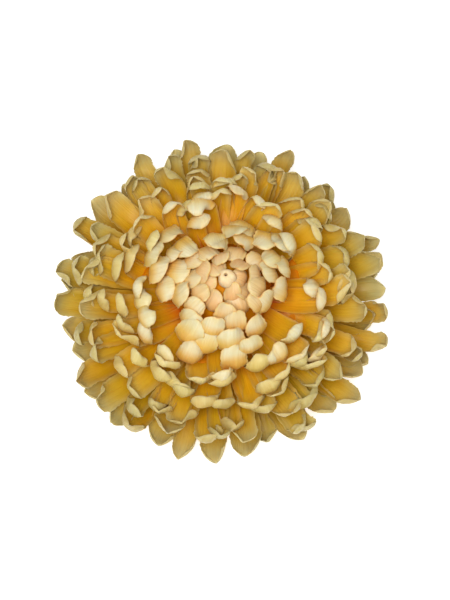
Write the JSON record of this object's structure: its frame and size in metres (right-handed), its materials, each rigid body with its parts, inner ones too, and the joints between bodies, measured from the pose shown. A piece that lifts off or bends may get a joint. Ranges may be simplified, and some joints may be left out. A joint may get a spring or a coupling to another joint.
{
  "type": "chrysanthemum bloom",
  "caption": "Cut decorative chrysanthemum bloom with a closed mound of florets in a spread of cupped petals, lying face up on its back.",
  "frame": {"origin": "centre of the stalk's flat cut end, level with the surface that the bloom lies on", "axes": "+Z along the bloom's axis, out of its face; +X to the right and +Y away in the picture's view"},
  "size_m": [0.1099, 0.1102, 0.0441],
  "materials": {
    "stalk": "matte green plant stem and bracts",
    "inner_petals": "soft matte cream petals, peach at the middle and golden towards their roots",
    "outer_petals": "soft matte golden petals with pale cream and olive tips"
  },
  "bodies": {
    "root": {"stalk": "stalk", "inner_florets": "inner_petals", "outer_florets": "outer_petals"}
  },
  "joints": []
}
